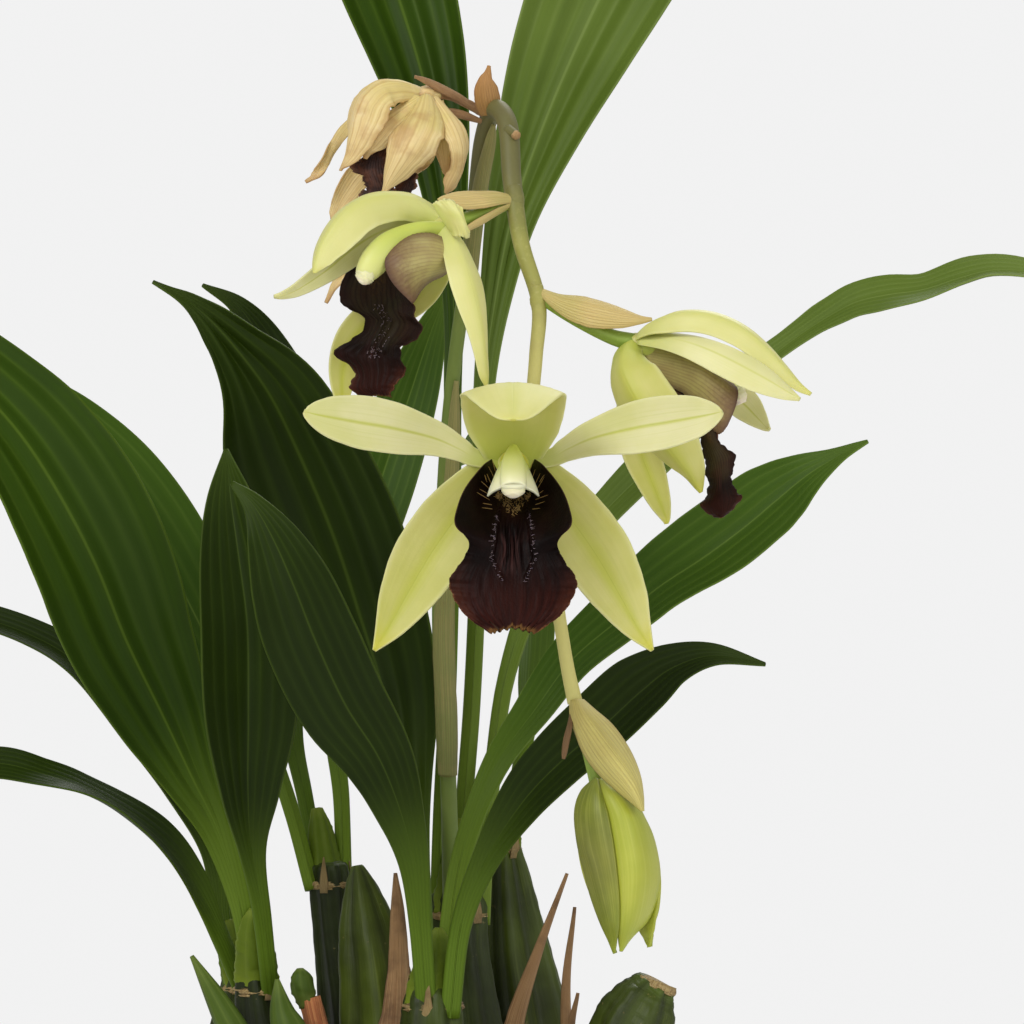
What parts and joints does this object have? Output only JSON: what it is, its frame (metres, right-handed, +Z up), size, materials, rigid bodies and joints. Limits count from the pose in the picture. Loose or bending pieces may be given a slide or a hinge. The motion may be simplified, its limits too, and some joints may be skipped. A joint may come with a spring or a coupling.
{
  "type": "potted coelogyne orchid",
  "caption": "Potted orchid with ribbed pseudobulbs, pleated leaves and a hanging stem of pale green flowers with dark lips, in a clay pot.",
  "frame": {"origin": "middle of the pot's underside, on the surface that the pot stands on", "axes": "+Z up out of the pot, -Y towards the viewer: the middle open flower faces -Y"},
  "size_m": [0.2276, 0.2295, 0.3993],
  "materials": {
    "terracotta": "matt fired clay with fine grit and pale salt bloom",
    "bark": "rough conifer bark chips",
    "rhizome": "woody scaled creeping stem and cream roots",
    "pseudobulb": "glossy ribbed dark green skin",
    "leaf": "satin green leaf with parallel veins",
    "tepal": "pale yellow-green waxy petal",
    "lip": "velvety chocolate brown lip with fringed keels",
    "column": "cream waxy column",
    "ovary": "ribbed green flower stalk",
    "flower_stem": "olive green stem, brown towards its base",
    "bract": "dry tan papery bract",
    "bud_bract": "khaki green papery bract",
    "bud": "smooth yellow-green closed bud",
    "wilted_petal": "dry wrinkled tan petal",
    "wilted_lip": "dry crumpled dark brown lip",
    "dry_sheath": "dry brown fibrous sheath"
  },
  "bodies": {
    "root": {"pot": "terracotta", "rhizome": "rhizome", "pseudobulb_front_left": "pseudobulb", "pseudobulb_left": "pseudobulb", "pseudobulb_slim": "pseudobulb", "pseudobulb_middle": "pseudobulb", "pseudobulb_front": "pseudobulb", "pseudobulb_back": "pseudobulb", "pseudobulb_large": "pseudobulb", "pseudobulb_right": "pseudobulb", "leaf_left_broad": "leaf", "leaf_left_back": "leaf", "leaf_left_low": "leaf", "leaf_left_thin": "leaf", "leaf_left_lowest": "leaf", "leaf_folded": "leaf", "leaf_tall": "leaf", "leaf_front": "leaf", "leaf_right_broad": "leaf", "leaf_right_low": "leaf", "leaf_right_far": "leaf", "leaf_top_left": "leaf", "leaf_top_right": "leaf", "leaf_far_left": "leaf", "leaf_far_middle": "leaf", "leaf_rear": "leaf", "young_shoots": "leaf", "old_spike_stub": "dry_sheath", "dry_sheath_front": "dry_sheath", "dry_sheath_back": "dry_sheath", "dry_sheath_small": "dry_sheath", "dry_sheath_middle": "dry_sheath", "bark": "bark", "flower_stem": "flower_stem", "front_flower_tepals": "tepal", "front_flower_lip": "lip", "front_flower_column": "column", "front_flower_ovary": "ovary", "left_flower_tepals": "tepal", "left_flower_lip": "lip", "left_flower_column": "column", "left_flower_ovary": "ovary", "left_flower_bract": "bract", "right_flower_tepals": "tepal", "right_flower_lip": "lip", "right_flower_column": "column", "right_flower_ovary": "ovary", "right_flower_bract": "bract", "bud": "bud", "bud_ovary": "ovary", "bud_bract": "bud_bract", "bud_scale": "bract", "wilted_flower_tepals": "wilted_petal", "wilted_flower_lip": "wilted_lip", "wilted_flower_stalk": "wilted_petal", "stem_tip_bract": "bract", "stem_sheath_upper": "dry_sheath", "stem_sheath_lower": "dry_sheath"}
  },
  "joints": []
}
